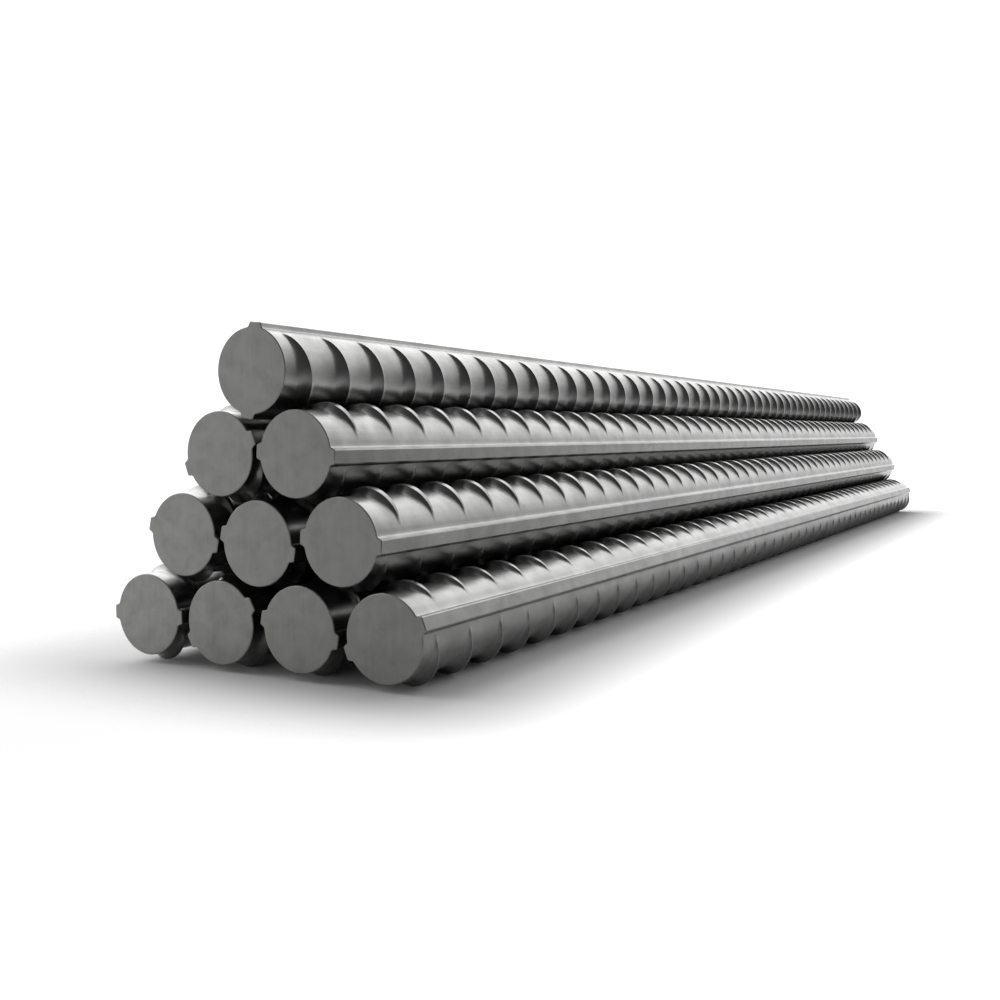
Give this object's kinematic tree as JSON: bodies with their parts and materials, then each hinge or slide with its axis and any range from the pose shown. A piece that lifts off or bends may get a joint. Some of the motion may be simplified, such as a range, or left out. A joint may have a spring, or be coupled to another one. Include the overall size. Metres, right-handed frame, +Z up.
{
  "type": "rebar bundle",
  "caption": "Loose pyramid stack of straight deformed steel reinforcing bars, each with a round core, long ribs and crescent cross ribs, cut square at both ends.",
  "frame": {"origin": "on the floor, under the middle of the stack", "axes": "+X along the bars, +Y across the rows, +Z up from the floor"},
  "size_m": [1, 0.1423, 0.1267],
  "materials": {
    "rolled_steel": "hot-rolled mill scale, satin mid grey, with plain matt grey cut ends"
  },
  "bodies": {
    "root": {"bottom_bar_1": "rolled_steel", "bottom_bar_2": "rolled_steel", "bottom_bar_3": "rolled_steel", "bottom_bar_4": "rolled_steel", "second_row_bar_1": "rolled_steel", "second_row_bar_2": "rolled_steel", "second_row_bar_3": "rolled_steel", "third_row_bar_1": "rolled_steel", "third_row_bar_2": "rolled_steel", "top_bar": "rolled_steel"}
  },
  "joints": []
}
